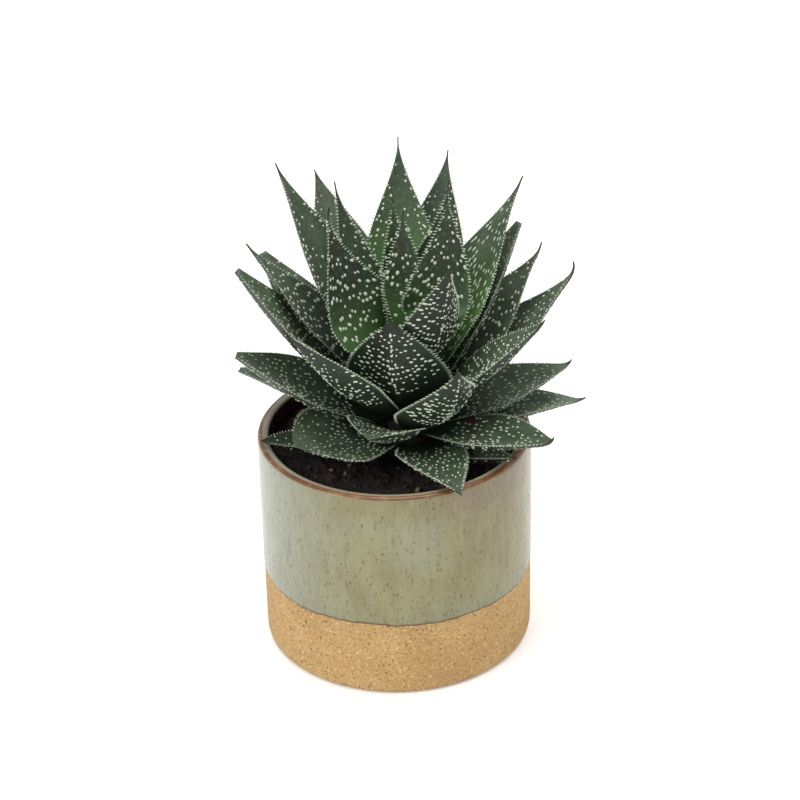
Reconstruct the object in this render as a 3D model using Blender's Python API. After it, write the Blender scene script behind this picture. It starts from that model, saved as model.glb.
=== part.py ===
"""A potted gasteria: a straight glazed pot of soil with a dense rosette of toothed leaves.

Metres, +Z up. The origin is at the centre of the pot's flat bottom and the front is -Y.
The plant stands a little to the right of the pot's axis.
"""
import math
from collections import namedtuple

import bpy
import numpy as np

MM = 0.001
GAP = 0.3 * MM

# Pot
POT_RADIUS = 67 * MM
POT_HEIGHT = 112 * MM
WALL = 6 * MM
FLOOR = 8 * MM
FOOT_BEVEL = 3 * MM
RIM_ROUND = 2.5 * MM
INNER_CORNER = 8 * MM
POT_SIDES = 48

# Soil and stem
SOIL_LEVEL = 101 * MM
SOIL_SIDES = 36
STEM_X = 6 * MM
STEM_DEPTH = 20 * MM
STEM_HEIGHT = 50 * MM
STEM_FOOT = 12 * MM
STEM_TOP = 4.5 * MM
STEM_SIDES = 24

# Leaf blade, in parts of the leaf's length or of its half width
WIDEST = 0.45
BLADE_END = 0.93
BASE_WIDTH = 0.16
STATIONS = (0.0, 0.10, 0.22, 0.35, 0.50, 0.66, 0.82, BLADE_END)
COLUMNS = (0.82, 0.42, 0.0, -0.42, -0.82)
CUP = 0.22
EDGE_THICKNESS = 1.2 * MM
BODY_THICKNESS = 3.6 * MM
KEEL = 0.9 * MM
BRISTLE_WIDTH = 1.1 * MM
BLUNT_WIDTH = 2.6 * MM
ROLL_FULL = 0.4

# Margin teeth
TOOTH_LENGTH = 1.7 * MM
TOOTH_BASE = 1.3 * MM
TOOTH_PITCH = 8 * MM
TOOTH_LEAN = 0.2
SHOULDER = 0.93
FIRST_TOOTH = 0.24
LAST_TOOTH = 0.90

# Colours
LEAF_GREEN = (0.045, 0.085, 0.045, 1)
GLAZE = (0.38, 0.38, 0.25, 1)
SOIL_BROWN = (0.022, 0.015, 0.012, 1)
STEM_GREEN = (0.16, 0.20, 0.08, 1)

Leaf = namedtuple("Leaf", "name azimuth rise bend length width seat roll curl taper widest tip")


def leaf(name, azimuth, rise, bend, length, width, seat,
         roll=0, curl=0, taper=1.25, widest=WIDEST, tip="bristle"):
    """One leaf: degrees for the angles and millimetres for length, width and seat.

    azimuth 0 points to +X and -90 to the front; rise is the slope at the base, which
    bend adds to along the leaf and curl near its tip; seat is the height on the stem.
    """
    return Leaf("leaf_" + name, azimuth, rise, bend, length * MM, width * MM, seat * MM,
                roll, curl, taper, widest, tip)


LEAVES = [
    # the crown, upright round the axis
    leaf("crown_1", 88, 86, -6, 76, 21, 49.5, taper=1.5),
    leaf("crown_2", 103, 75, 2, 82, 18, 42.5, taper=1.5),
    leaf("crown_3", 38, 60, 30, 85, 26, 43, roll=4, taper=1.5, widest=0.35),
    leaf("crown_4", 155, 55, 26, 86, 31, 42.5, roll=-10, taper=1.8, widest=0.27),
    leaf("crown_5", 60, 58, 17, 94, 27, 37.5, roll=8, taper=1.6, widest=0.35),
    leaf("crown_6", 131, 52, 22, 97, 28, 37, roll=-8, taper=1.7, widest=0.3),
    leaf("crown_7", -49, 71, 0, 84, 45.5, 34.2, taper=1.4, widest=0.33),
    # the tall leaves behind it, and the broad one in front
    leaf("upper_1", 90.5, 50, 14, 118, 30, 33.5, roll=-3, taper=1.35),
    leaf("upper_2", 72, 49, 12, 119, 37, 26.5, roll=-2, taper=1.5),
    leaf("upper_3", 116, 39, 12, 122, 38, 22, roll=-4),
    leaf("upper_4", 37, 54, 2, 113, 31, 30.5, roll=2, taper=1.7),
    leaf("upper_5", 141, 52, 6, 121, 34, 30, roll=6, taper=1.6),
    leaf("upper_6", 32, 50, 8, 106, 33, 23.5, roll=-10, tip="blunt"),
    leaf("upper_7", -101, 54.5, 29, 65, 50, 26, taper=1, widest=0.34),
    # the middle leaves
    leaf("middle_1", 30, 40, 9, 97, 31, 20, roll=8, taper=1.9),
    leaf("middle_2", 138, 30, 14, 112, 34.5, 15, tip="blunt"),
    leaf("middle_3", 156.3, 43, 1.4, 102, 30.5, 26, roll=4, taper=1.8),
    leaf("middle_4", 20, 32, 13, 103, 37, 16.5, taper=1.6),
    leaf("middle_5", -13, 41, 2, 80, 27, 22, roll=6),
    leaf("middle_6", 171, 41, 12, 110, 38, 18, roll=6, tip="blunt"),
    leaf("middle_7", -141, 45, 4, 85, 42, 22),
    # the low leaves over the rim
    leaf("lower_1", -176, 28, 6, 83, 44, 14),
    leaf("lower_2", 10, 15, 5, 77, 38, 13.5),
    leaf("lower_3", 161, 26, -23, 80, 26, 9),
    leaf("lower_4", -60, 36, 20, 64, 42, 17, curl=24, taper=1.4, widest=0.4),
    leaf("lower_5", 6, 19, -23, 79, 30, 8),
    leaf("lower_6", -112, 38, -30, 42, 38, 12, taper=0.9),
    leaf("lower_7", -35, 10, 1, 74, 33, 13.5, curl=4, taper=1),
    leaf("lower_8", -144, 14, 4, 57, 46, 9, roll=-10, taper=0.7, widest=0.55),
    leaf("lower_9", -71, 13, -12, 63, 33, 7.4, roll=-4, widest=0.33),
    leaf("lower_10", -38, 12, 1, 52, 14, 3.8),
    leaf("lower_11", -166, 9, 3, 62, 22, 4),
    # the leaves at the back, which the front ones hide
    leaf("back_1", 87, 34, 2, 98, 36, 18),
    leaf("back_2", 61, 25, 4, 92, 36, 15),
    leaf("back_3", 112, 20, 0, 92, 35, 12),
    leaf("back_4", 74, 15, 4, 86, 34, 11),
    leaf("back_5", 133, 6, 8, 72, 32, 7),
    leaf("back_6", 47, 10, 4, 76, 30, 7),
    leaf("back_7", 91, 8, 12, 76, 32, 5),
]


def clear_scene():
    for item in list(bpy.data.objects):
        bpy.data.objects.remove(item, do_unlink=True)


def make_material(name, color, roughness):
    material = bpy.data.materials.new(name)
    material.use_nodes = True
    shader = material.node_tree.nodes["Principled BSDF"]
    shader.inputs["Base Color"].default_value = color
    shader.inputs["Roughness"].default_value = roughness
    return material


def make_object(name, vertices, faces, material, smooth_angle=35):
    """An object with the given mesh, its faces triangulated as listed."""
    mesh = bpy.data.meshes.new(name)
    mesh.from_pydata([tuple(v) for v in vertices], [], faces)
    mesh.validate()
    mesh.materials.append(material)
    mesh.shade_smooth()
    mesh.set_sharp_from_angle(angle=math.radians(smooth_angle))
    item = bpy.data.objects.new(name, mesh)
    bpy.context.collection.objects.link(item)
    return item


def arc(center, radius, start, end, steps):
    """Points (r, z) of an arc round a centre, from one angle in degrees to another."""
    angles = np.radians(np.linspace(start, end, steps + 1))
    return [(center[0] + radius * math.cos(a), center[1] + radius * math.sin(a)) for a in angles]


def turned(name, profile, sides, material, center=(0, 0)):
    """A solid turned from a profile of (r, z) that starts and ends on the axis."""
    vertices = []
    faces = []
    turns = [2 * math.pi * k / sides for k in range(sides)]
    inner = profile[1:-1]
    vertices.append((center[0], center[1], profile[0][1]))
    for radius, z in inner:
        for turn in turns:
            x = center[0] + radius * math.cos(turn)
            y = center[1] + radius * math.sin(turn)
            vertices.append((x, y, z))
    vertices.append((center[0], center[1], profile[-1][1]))
    last = len(vertices) - 1
    rings = len(inner)
    for k in range(sides):
        k2 = (k + 1) % sides
        faces.append((0, 1 + k2, 1 + k))
        faces.append((last, last - sides + k, last - sides + k2))
        for ring in range(rings - 1):
            a = 1 + ring * sides
            b = a + sides
            faces.append((a + k, a + k2, b + k2, b + k))
    return make_object(name, vertices, faces, material)


def make_pot(material):
    inner = POT_RADIUS - WALL
    profile = [(0, 0), (POT_RADIUS - FOOT_BEVEL, 0), (POT_RADIUS, FOOT_BEVEL)]
    profile += arc((POT_RADIUS - RIM_ROUND, POT_HEIGHT - RIM_ROUND), RIM_ROUND, 0, 90, 3)
    profile += arc((inner + RIM_ROUND, POT_HEIGHT - RIM_ROUND), RIM_ROUND, 90, 180, 3)
    profile += arc((inner - INNER_CORNER, FLOOR + INNER_CORNER), INNER_CORNER, 0, -90, 3)
    profile += [(0, FLOOR)]
    return turned("pot", profile, POT_SIDES, material)


def soil_relief(x, y, z):
    """Low crumbly mounds on the soil, none at its wall or underneath."""
    radius = math.hypot(x, y)
    edge = POT_RADIUS - WALL - GAP
    inside = min(1, (edge - radius) / (12 * MM))
    if z < SOIL_LEVEL - 1 * MM:
        return 0
    waves = math.sin(x / (7 * MM) + 1) + math.sin(y / (6 * MM)) + math.sin((x + y) / (9 * MM))
    return 0.5 * MM * waves * max(0, inside)


def make_soil(material):
    """The soil that fills the pot, with a plain hole for the stem."""
    edge = POT_RADIUS - WALL - GAP
    corner = INNER_CORNER
    bottom = FLOOR + GAP
    hole = STEM_FOOT + GAP
    hole_bottom = SOIL_LEVEL - STEM_DEPTH - GAP
    sides = SOIL_SIDES
    outer = [(edge - corner, bottom)]
    outer += arc((edge - corner, bottom + corner), corner, -60, 0, 2)
    outer += [(edge, SOIL_LEVEL - 0.5 * MM)]
    top = [edge - 4 * MM, 50 * MM, 42 * MM, 34 * MM, 26 * MM]
    turns = [2 * math.pi * k / sides for k in range(sides)]
    rings = [[(r * math.cos(t), r * math.sin(t), z) for t in turns] for r, z in outer]
    for r in top:
        shift = STEM_X * (1 - (r - 26 * MM) / (edge - 26 * MM))
        ring = [(shift + r * math.cos(t), r * math.sin(t)) for t in turns]
        rings.append([(x, y, SOIL_LEVEL + soil_relief(x, y, SOIL_LEVEL)) for x, y in ring])
    for z in (SOIL_LEVEL, hole_bottom):
        rings.append([(STEM_X + hole * math.cos(t), hole * math.sin(t), z) for t in turns])
    vertices = [(0, 0, bottom)] + [p for ring in rings for p in ring] + [(STEM_X, 0, hole_bottom)]
    last = len(vertices) - 1
    faces = []
    for k in range(sides):
        k2 = (k + 1) % sides
        faces.append((0, 1 + k2, 1 + k))
        faces.append((last, last - sides + k, last - sides + k2))
        for ring in range(len(rings) - 1):
            a = 1 + ring * sides
            b = a + sides
            faces.append((a + k, a + k2, b + k2))
            faces.append((a + k, b + k2, b + k))
    return make_object("soil", vertices, faces, material)


def make_stem(material):
    """The short stem: straight in the soil, narrowing above it, domed on top."""
    foot = SOIL_LEVEL - STEM_DEPTH
    top = SOIL_LEVEL + STEM_HEIGHT
    profile = [(0, foot), (STEM_FOOT, foot), (STEM_FOOT, SOIL_LEVEL), (STEM_TOP, top),
               (STEM_TOP * 0.6, top + 2 * MM), (0, top + 3 * MM)]
    return turned("stem", profile, STEM_SIDES, material, center=(STEM_X, 0))


def stem_radius(height):
    return STEM_FOOT + (STEM_TOP - STEM_FOOT) * height / STEM_HEIGHT


def spine(leaf, fractions):
    """The leaf's middle line at the given parts of its length, with its own directions.

    Returns points, and unit vectors along the leaf, across it and up from its inner face.
    """
    steps = np.linspace(0, 1, 121)
    rise = np.radians(leaf.rise + leaf.bend * steps + leaf.curl * steps ** 4)
    heading = math.radians(leaf.azimuth)
    ahead = np.stack([np.cos(rise) * math.cos(heading), np.cos(rise) * math.sin(heading),
                      np.sin(rise)], axis=1)
    middle = (ahead[1:] + ahead[:-1]) / 2 * leaf.length / (len(steps) - 1)
    reach = stem_radius(leaf.seat) + GAP
    start = (STEM_X + reach * math.cos(heading), reach * math.sin(heading), SOIL_LEVEL + leaf.seat)
    points = np.vstack([np.zeros(3), np.cumsum(middle, axis=0)]) + start
    across = np.tile((-math.sin(heading), math.cos(heading), 0.0), (len(steps), 1))
    up = np.cross(ahead, across)
    roll = np.radians(leaf.roll) * np.clip(steps / ROLL_FULL, 0, 1)[:, None]
    across, up = across * np.cos(roll) + up * np.sin(roll), up * np.cos(roll) - across * np.sin(roll)
    rows = [np.stack([np.interp(fractions, steps, v[:, k]) for k in range(3)], axis=1)
            for v in (points, ahead, across, up)]
    return rows


def half_width(leaf, s):
    """Half the blade's width: it widens from a narrow base, then draws in to a fine tip."""
    grow = BASE_WIDTH + (1 - BASE_WIDTH) * np.clip(s / leaf.widest, 0, 1) ** 0.85
    left = np.clip((1 - s) / (1 - leaf.widest), 0, 1)
    fall = np.sin(left * math.pi / 2) ** leaf.taper
    end = BRISTLE_WIDTH if leaf.tip == "bristle" else BLUNT_WIDTH
    return np.maximum(leaf.width / 2 * np.where(s < leaf.widest, grow, fall), end)


def thickness(s):
    """The blade's thickness on its middle line."""
    grow = 0.45 + 0.55 * np.sin(np.clip(s / WIDEST, 0, 1) * math.pi / 2)
    fall = 1 - np.clip((s - WIDEST) / (BLADE_END - WIDEST), 0, 1) ** 1.5
    return EDGE_THICKNESS + BODY_THICKNESS * np.where(s < WIDEST, grow, fall)


def surface(leaf, s, v, inner):
    """Points at the parts s of the length and v of the half width, -1 to 1.

    inner picks the hollow inner face; the outer face bulges and has a low keel.
    """
    points, ahead, across, up = spine(leaf, s)
    half = half_width(leaf, s)
    height = CUP * half * np.abs(v) ** 1.7
    if not inner:
        body = thickness(s) * np.clip(1 - np.abs(v) ** 2.4, 0, 1)
        keel = KEEL * np.exp(-(v / 0.2) ** 2) * np.sin(math.pi * s)
        height = height - body - keel
    return points + across * (half * v)[:, None] + up * height[:, None]


def tooth_parts(leaf):
    """The parts of the length at the middles of the teeth along one edge."""
    reach = (LAST_TOOTH - FIRST_TOOTH) * leaf.length
    return np.linspace(FIRST_TOOTH, LAST_TOOTH, int(round(reach / TOOTH_PITCH)))


def edge_parts(leaf):
    """The parts of the length of the edge's points, and which of them stand under a tooth."""
    half = TOOTH_BASE / leaf.length / 2
    parts = [(0.0, False), (STATIONS[1], False)]
    for middle in tooth_parts(leaf):
        parts += [(middle - half, False), (middle, True), (middle + half, False)]
    parts.append((BLADE_END, False))
    return np.array([p[0] for p in parts]), np.array([p[1] for p in parts])


def tooth_tips(leaf, side):
    """The tips of the teeth along one edge: they point outward and a little ahead."""
    s = tooth_parts(leaf)
    ahead, across, up = spine(leaf, s)[1:]
    direction = across * side + up * 0.25 + ahead * TOOTH_LEAN
    direction /= np.linalg.norm(direction, axis=1)[:, None]
    return surface(leaf, s, np.full(len(s), float(side)), True) + direction * TOOTH_LENGTH


def zipped(first, first_s, second, second_s):
    """Triangles between two lines of vertices, in step with their parts of the length."""
    faces = []
    i = j = 0
    while i < len(first) - 1 or j < len(second) - 1:
        step_first = j == len(second) - 1
        if i < len(first) - 1 and j < len(second) - 1:
            step_first = first_s[i + 1] + first_s[i] < second_s[j + 1] + second_s[j]
        if step_first:
            faces.append((first[i], first[i + 1], second[j]))
            i += 1
        else:
            faces.append((first[i], second[j + 1], second[j]))
            j += 1
    return faces


def leaf_mesh(leaf):
    """Vertices and faces of one closed leaf with its teeth, split alike on both faces."""
    vertices = []
    faces = []

    def add(points):
        start = len(vertices)
        vertices.extend(points)
        return list(range(start, start + len(points)))

    def join(triangles, flip):
        faces.extend([t[::-1] for t in triangles] if flip else triangles)

    # lines along the leaf, from its left edge to its right one: two faces, one shared edge
    teeth = tooth_parts(leaf)
    beside_teeth = np.concatenate([STATIONS[:2], teeth, STATIONS[-1:]])
    middle_lines = np.array(STATIONS)
    edge_s, toothed = edge_parts(leaf)
    shared = {side: add(surface(leaf, edge_s, np.full(len(edge_s), float(side)), True))
              for side in (1, -1)}
    tips = {side: add(tooth_tips(leaf, side)) for side in (1, -1)}
    rims = {}
    for inner in (True, False):
        lines = []
        for side in (1, -1):
            shoulders = add(surface(leaf, teeth, np.full(len(teeth), SHOULDER * side), inner))
            edge = list(shared[side])
            for place, vertex in zip(np.flatnonzero(toothed), shoulders):
                edge[place] = vertex
            lines.append((edge_s, edge))
            for place, tip in zip(np.flatnonzero(toothed), tips[side]):
                start, top, end = edge[place - 1:place + 2]
                join([(start, top, tip), (top, end, tip)], inner != (side > 0))
        for v in COLUMNS:
            s = beside_teeth if abs(v) == COLUMNS[0] else middle_lines
            lines.insert(-1, (s, add(surface(leaf, s, np.full(len(s), v), inner))))
        for left, right in zip(lines, lines[1:]):
            join(zipped(right[1], right[0], left[1], left[0]), not inner)
        rims[inner] = [line[1] for line in lines]

    # the base is closed round a middle point, and so is the end, which may be a bristle
    base = [line[0] for line in rims[True]] + [line[0] for line in rims[False][-2:0:-1]]
    end = [line[-1] for line in rims[True]] + [line[-1] for line in rims[False][-2:0:-1]]
    root = add([np.mean([vertices[k] for k in base], axis=0)])[0]
    if leaf.tip == "bristle":
        apex = add(spine(leaf, np.array([1.0]))[0])[0]
    else:
        apex = add([np.mean([vertices[k] for k in end], axis=0)])[0]
    for k in range(len(end)):
        k2 = (k + 1) % len(end)
        join([(end[k], end[k2], apex), (base[k2], base[k], root)], False)

    # the vertices under the teeth on the shared edge are left over, so they go
    used = sorted({k for face in faces for k in face})
    place = {old: new for new, old in enumerate(used)}
    return [vertices[k] for k in used], [tuple(place[k] for k in face) for face in faces]


def make_leaf(leaf, material):
    vertices, faces = leaf_mesh(leaf)
    return make_object(leaf.name, vertices, faces, material)


def main():
    clear_scene()
    make_pot(make_material("glazed_pot", GLAZE, 0.25))
    make_soil(make_material("soil", SOIL_BROWN, 0.95))
    make_stem(make_material("stem", STEM_GREEN, 0.6))
    green = make_material("leaf", LEAF_GREEN, 0.45)
    for one in LEAVES:
        make_leaf(one, green)


main()
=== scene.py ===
"""The potted gasteria's looks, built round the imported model.

Metres, +Z up. The origin is at the centre of the pot's flat bottom and the front is -Y.
Every leaf is made again from the same law as its plain solid, with fine teeth, raised pale
spots and a dry bristle. The pot gets its glaze, bare clay and rim, and the soil its crumbs.
"""

import math
from collections import namedtuple

import bmesh
import bpy
import numpy as np
from mathutils import Matrix, Vector


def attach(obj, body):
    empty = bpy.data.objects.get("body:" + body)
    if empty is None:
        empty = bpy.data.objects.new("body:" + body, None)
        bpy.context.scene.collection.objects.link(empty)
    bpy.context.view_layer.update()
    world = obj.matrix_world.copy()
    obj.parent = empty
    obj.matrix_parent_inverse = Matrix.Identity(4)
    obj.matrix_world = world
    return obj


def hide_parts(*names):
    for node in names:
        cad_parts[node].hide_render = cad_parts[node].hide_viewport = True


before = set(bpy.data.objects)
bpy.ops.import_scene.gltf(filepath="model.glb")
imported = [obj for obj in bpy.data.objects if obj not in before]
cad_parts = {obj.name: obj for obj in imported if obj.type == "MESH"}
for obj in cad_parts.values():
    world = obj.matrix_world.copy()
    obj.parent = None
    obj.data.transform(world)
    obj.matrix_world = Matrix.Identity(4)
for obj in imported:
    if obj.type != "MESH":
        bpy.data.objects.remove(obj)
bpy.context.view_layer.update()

MM = 0.001
GAP = 0.3 * MM

# Pot
POT_RADIUS = 67 * MM
POT_HEIGHT = 112 * MM
WALL = 6 * MM
FLOOR = 8 * MM
GLAZE_LINE = 40 * MM
GLAZE_THICKNESS = 0.25 * MM
RIM_ROUND = 2.5 * MM
POT_SIDES = 192
WALL_RINGS = 14
CLAY_RINGS = 6
FOOT_END = 6 * MM

# The foot's shape: how far inside the pot's radius and how high its points are, in millimetres
FOOT_SHAPE = ((9, 0.9), (8.2, 0.3), (7.4, 0), (3.2, 0), (1.6, 0.5), (0.7, 1.5), (0.35, 3.2))

# How brown each ring over the rim is, from the outer wall to the crest
RIM_BROWN = (0, 0, 0.5, 1, 1, 1, 1, 0.5)
RIM_RINGS = len(RIM_BROWN)

# The glaze's lower edge: waves round the pot, the height in millimetres and the start of each
GLAZE_WAVES = ((3, 0.5, 0.5), (7, 0.3, 2), (17, 0.2, 0), (41, 0.14, 1), (67, 0.10, 0))

# Soil and stem
SOIL_LEVEL = 101 * MM
SOIL_RINGS = 80
SOIL_SIDES = 220
CRUMBS = 900
CRUMB_SIZE = (0.5, 1.6)
PALE_CRUMBS = 0.04
STEM_X = 6 * MM
STEM_HEIGHT = 50 * MM
STEM_FOOT = 12 * MM
STEM_TOP = 4.5 * MM

# The mounds and lumps of the soil's top: the length and height of each wave in millimetres
SOIL_WAVES = ((34, 0.8), (21, 0.55), (13, 0.4), (7, 0.28), (4, 0.2), (2.4, 0.12))

# Leaf blade, in parts of the leaf's length or of its half width
WIDEST = 0.45
BLADE_END = 0.93
BASE_WIDTH = 0.40
CUP = 0.22
CUP_CURVE = 1.7
EDGE_THICKNESS = 1.2 * MM
BODY_THICKNESS = 3.6 * MM
BODY_CURVE = 2.4
BASE_BODY = 0.45
TIP_THINNING = 0.8
KEEL = 0.9 * MM
KEEL_SPREAD = 0.2
TIP_WIDTH = 0.32 * MM
BLUNT_WIDTH = 1.8 * MM
BLUNT_ROUND = 0.025
HOOK_START = 0.90
ROLL_FULL = 0.4
MARGIN_EDGE = 0.3 * MM
SPINE_STEPS = 121
ROWS = 64
TIP_ROWS = 8
ACROSS = 22
MARGIN_CROWDING = 1.25

# Margin teeth
TOOTH_LENGTH = 1.5 * MM
TOOTH_BASE = 0.85 * MM
TOOTH_THICKNESS = 0.38 * MM
TOOTH_ROOT = 0.5 * MM
TOOTH_PITCH = 1.5 * MM
TOOTHED_PART = 0.80
FIRST_TOOTH = 0.13
LAST_TOOTH = 0.92

# A tooth's points are four at its base, four at its belt and one at its tip
TOOTH_FACES = [(0, 1, 5, 4), (4, 5, 8), (1, 2, 6, 5), (5, 6, 8),
               (2, 3, 7, 6), (6, 7, 8), (3, 0, 4, 7), (7, 4, 8)]

# Raised spots: each ring of a dome as a part of its radius and of its height and how pale it
# is, how high a dome stands for its width, and how far toward the margins and tip spots reach
SPOT_SIDES = 8
SPOT_RINGS = ((1.12, -0.35, 0.35), (0.85, 0.45, 0.9), (0.45, 0.9, 1.0))
SPOT_HEIGHT = 0.55
SPOT_MARGIN = 0.93
LAST_SPOT_ROW = 0.90
SPOT_END = 0.905
MARGIN_BAND = (0.65, 0.95)
KEEL_SPOT_PITCH = 2.7 * MM

# Camera
CAMERA_TARGET = (3.2 * MM, 0.0, 127.1 * MM)
CAMERA_DISTANCE = 1.2
CAMERA_ELEVATION = 29.5
CAMERA_ROLL = -1.44
CAMERA_LENS = 111.17

# Studio: each light's name, place, size and power
LIGHTS = (("key", (-1.2, -0.9, 1.3), 1.1, 13), ("fill", (1.2, -1.2, 1.0), 1.2, 2),
          ("top", (0.1, 0.2, 1.7), 1.3, 20))
LIT_POINT = (0, 0, 0.1)
FLOOR_REACH = 6.0
FLOOR_GLOW = 0.18
SKY_STRENGTH = 0.68

Leaf = namedtuple("Leaf", "name azimuth rise bend length width seat roll curl taper widest tip "
                  "base hook inner outer fresh tone bloom dry")


def leaf(name, azimuth, rise, bend, length, width, seat, roll=0, curl=0, taper=1.25,
         widest=WIDEST, tip="bristle", base=BASE_WIDTH, hook=0, inner="dotted", outer="rows",
         fresh=0.0, tone=0.3, bloom=0.15, dry=1.0):
    """A leaf's sizes in degrees and millimetres, then the marks and colours of its two faces.

    azimuth 0 points to +X and -90 to the front; rise is the slope at the base, which bend
    adds to along the leaf, and curl and hook near its tip; seat is the height on the stem;
    base is the share of the width at the stem. fresh is how green the base is, tone how
    brown the middle, the bloom number how grey the skin, partly its real grey bloom and
    partly painted light that lifts a leaf sitting in shade, and dry how dry the tip, each
    from 0 to 1.
    """
    return Leaf("leaf_" + name, azimuth, rise, bend, length * MM, width * MM, seat * MM, roll,
                curl, taper, widest, tip, base, hook, inner, outer, fresh, tone, bloom, dry)


def bud(name, azimuth, rise, bend, length, width, seat, fresh=1.0):
    """A small young leaf of the heart, fresh green and without a dry tip."""
    return leaf(name, azimuth, rise, bend, length, width, seat, inner="sparse", fresh=fresh,
                tone=0.0, bloom=0.0, dry=0.0)


# a high grey bloom on a leaf that sits in shade, as on lower_6, upper_6 and lower_10, is partly
# painted light
LEAVES = [
    # the crown, upright round the axis
    leaf("crown_1", 88, 77, -1, 71, 19.5, 48.5, taper=1.6, widest=0.45, base=0.1, inner="bands",
         fresh=0.5, tone=0.5, bloom=0.0),
    leaf("crown_2", 98, 73, 2, 82, 16, 42.5, taper=1.5, inner="bands", fresh=0.6, tone=0.1,
         bloom=0.0),
    leaf("crown_3", 31, 63, 28, 88, 31, 43, roll=58, taper=1.5, widest=0.35, inner="bands",
         fresh=0.5, tone=0.6, bloom=0.1),
    leaf("crown_4", 165, 54, 32, 89.5, 42, 42.5, roll=-34, taper=2.3, widest=0.28, hook=20,
         inner="bands", fresh=0.45, tone=0.7, bloom=0.05),
    leaf("crown_5", 58, 58, 18, 96, 31, 37.5, roll=14, taper=2.0, widest=0.35, inner="bands",
         fresh=0.5, tone=0.2, bloom=0.05),
    leaf("crown_6", 128, 52, 22, 99, 28, 37, roll=-8, taper=1.7, widest=0.3, inner="edges",
         fresh=0.6, tone=0.3, bloom=0.1),
    leaf("crown_7", -49, 71, 0, 80.5, 45.5, 34.2, taper=1.4, widest=0.33, outer="arcs", tone=0.6,
         bloom=0.0, dry=0.0),
    # the tall leaves behind it, and the broad one in front
    leaf("upper_1", 90.5, 50, 14, 119.5, 36, 33.5, roll=-3, taper=1.75, inner="edges", fresh=1.0,
         bloom=0.1),
    leaf("upper_2", 72, 49, 12, 120.5, 37, 26.5, roll=-2, taper=1.5, inner="edges", fresh=0.6,
         tone=0.4, bloom=0.1),
    leaf("upper_3", 116, 39, 12, 125, 38, 22, roll=-4, inner="edges", tone=0.4, bloom=0.3),
    leaf("upper_4", 35, 54.8, 2, 114, 34.5, 30.5, roll=4, taper=1.8, widest=0.4, inner="streaks",
         fresh=0.8, bloom=0.3),
    leaf("upper_5", 140, 52, 6, 123, 34, 30, roll=6, taper=1.6, inner="edges", tone=0.25,
         bloom=0.35),
    leaf("upper_6", 32, 50, 8, 106, 33, 23.5, roll=-10, tip="blunt", inner="dotted", fresh=0.5,
         tone=0.1, bloom=0.9),
    leaf("upper_7", -101, 54.5, 29, 65, 50, 26, taper=1, widest=0.34, outer="arcs", tone=0.6,
         bloom=0.0, dry=0.0),
    # the middle leaves
    leaf("middle_1", 30, 40, 9, 99, 34, 20, roll=8, taper=1.9, hook=24, inner="bands", tone=0.5,
         bloom=0.5),
    leaf("middle_2", 138, 30, 14, 112, 34.5, 15, tip="blunt", inner="sparse", tone=0.4, bloom=0.5),
    leaf("middle_3", 156.3, 43, 1.4, 102, 30.5, 26, roll=4, taper=1.8, inner="bands", tone=0.35,
         bloom=0.45),
    leaf("middle_4", 20, 32, 13, 105, 36, 16.5, taper=2.1, hook=60, inner="dotted", tone=0.4,
         bloom=0.5),
    leaf("middle_5", -13, 41, 2, 80, 27, 22, roll=6, hook=15, inner="rows", tone=0.3, bloom=0.45),
    leaf("middle_6", 171, 41, 12, 110, 38, 18, roll=6, tip="blunt", inner="dotted", tone=0.3,
         bloom=0.5),
    leaf("middle_7", -141, 45, 4, 85, 42, 22, inner="arcs", tone=0.4, bloom=0.1, dry=0.3),
    # the low leaves over the rim
    leaf("lower_1", -176, 28, 6, 88, 44, 14, tip="blunt", inner="dotted", tone=0.2, bloom=0.35),
    leaf("lower_2", 10, 15, 5, 77, 38, 13.5, hook=40, inner="dotted", tone=0.3, bloom=0.75),
    leaf("lower_3", 161, 26, -23, 85, 26, 9, tip="blunt", inner="dotted", tone=0.2, bloom=0.4),
    leaf("lower_4", -60, 36, 20, 64, 42, 17, curl=24, taper=1.4, widest=0.4, hook=30,
         outer="arcs", tone=0.3, bloom=0.1, dry=0.3),
    leaf("lower_5", 6, 19, -23, 79, 30, 8, hook=30, inner="dotted", tone=0.2, bloom=1.0),
    leaf("lower_6", -112, 40, -30, 42, 38, 13, taper=0.9, inner="arcs", tone=0.0, bloom=1.0,
         dry=0.0),
    leaf("lower_7", -35, 10, 1, 76.5, 33, 13.5, curl=4, taper=1, hook=60, inner="dotted", tone=0.1,
         bloom=0.3),
    leaf("lower_8", -144, 14, 4, 57, 46, 9, roll=-10, taper=0.7, widest=0.55, inner="dotted",
         tone=0.1, bloom=0.7, dry=0.0),
    leaf("lower_9", -71, 13, -12, 65, 33, 7.4, roll=-4, widest=0.33, inner="dotted", tone=0.1,
         bloom=0.3, dry=0.3),
    leaf("lower_10", -38, 12, 1, 55, 15, 3.8, roll=6, inner="dotted", tone=0.4, bloom=0.9),
    leaf("lower_11", -166, 9, 3, 62, 22, 4, taper=0.8, inner="sparse", tone=0.4, dry=0.3),
    # the leaves at the back, which the front ones hide
    leaf("back_1", 87, 34, 2, 98, 36, 18),
    leaf("back_2", 61, 25, 4, 92, 36, 15),
    leaf("back_3", 112, 20, 0, 92, 35, 12),
    leaf("back_4", 74, 15, 4, 86, 34, 11),
    leaf("back_5", 133, 6, 8, 72, 32, 7),
    leaf("back_6", 47, 10, 4, 76, 30, 7),
    leaf("back_7", 91, 8, 12, 76, 32, 5),
]

# The small young leaves in the rosette's heart, which close over the top of the stem
BUDS = [
    bud("bud_1", 205, 78, 42, 18, 14, 46.5),
    bud("bud_2", 335, 80, 44, 17, 13, 47),
    bud("bud_3", 95, 84, 30, 19, 12, 47.5),
    bud("bud_4", 270, 72, 56, 15, 14, 45.5, fresh=0.8),
]

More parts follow.
